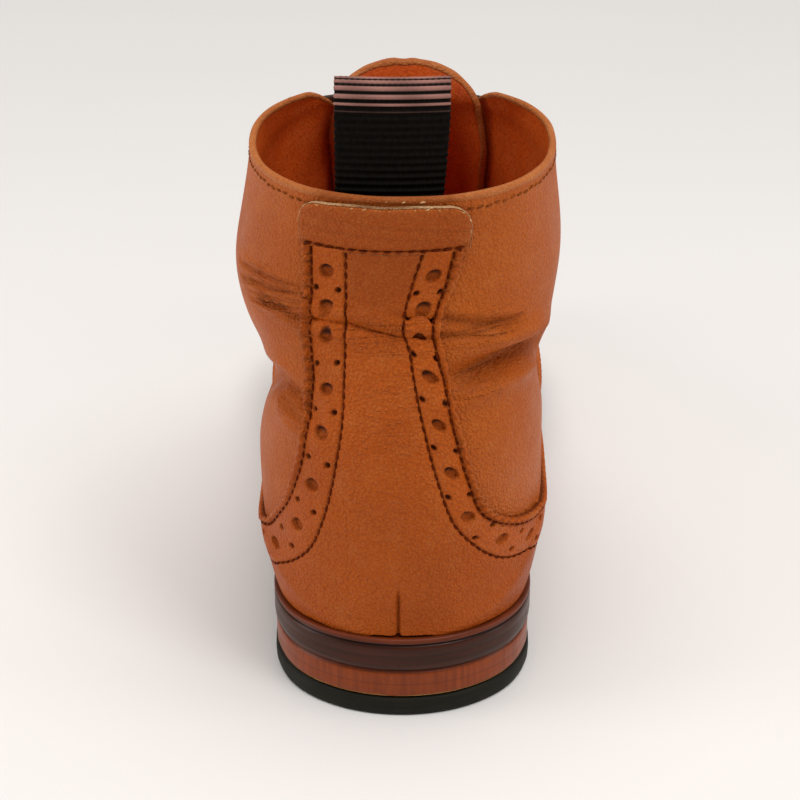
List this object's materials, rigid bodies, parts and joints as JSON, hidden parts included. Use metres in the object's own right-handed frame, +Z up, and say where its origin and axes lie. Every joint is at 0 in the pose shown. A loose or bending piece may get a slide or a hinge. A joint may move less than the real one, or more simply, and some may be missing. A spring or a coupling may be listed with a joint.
{
  "type": "ankle boot",
  "caption": "Lace-up ankle boot in tan leather with a punched heel strap, a winged toe cap, a stacked heel and a webbing pull loop.",
  "frame": {"origin": "on the floor under the middle of the heel", "axes": "+Z up, +Y towards the toe, +X towards the inner (medial) side of this left boot"},
  "size_m": [0.1022, 0.3, 0.1726],
  "materials": {
    "upper_leather": "smooth tan calf with soft creases",
    "overlay_leather": "smooth tan calf, gimped edges",
    "lining_leather": "reddish brown lining leather",
    "webbing": "dark brown ribbed webbing",
    "welt_leather": "tan welt",
    "sole_edge": "dark brown polished edge",
    "stack_leather": "brown polished stack",
    "top_piece_rubber": "black rubber",
    "eyelet_metal": "dull bronze",
    "lace_cord": "dark brown flat lace"
  },
  "bodies": {
    "root": {"upper": "upper_leather", "counter": "overlay_leather", "back_tab": "overlay_leather", "toe_cap": "overlay_leather", "tongue": "lining_leather", "insole": "lining_leather", "pull_loop": "webbing", "welt": "welt_leather", "outsole": "sole_edge", "heel_stack": "stack_leather", "heel_top_piece": "top_piece_rubber", "laces": "lace_cord", "eyelet_lateral_1": "eyelet_metal", "eyelet_medial_1": "eyelet_metal", "eyelet_lateral_2": "eyelet_metal", "eyelet_medial_2": "eyelet_metal", "eyelet_lateral_3": "eyelet_metal", "eyelet_medial_3": "eyelet_metal", "eyelet_lateral_4": "eyelet_metal", "eyelet_medial_4": "eyelet_metal", "eyelet_lateral_5": "eyelet_metal", "eyelet_medial_5": "eyelet_metal", "eyelet_lateral_6": "eyelet_metal", "eyelet_medial_6": "eyelet_metal", "eyelet_lateral_7": "eyelet_metal", "eyelet_medial_7": "eyelet_metal"}
  },
  "joints": []
}
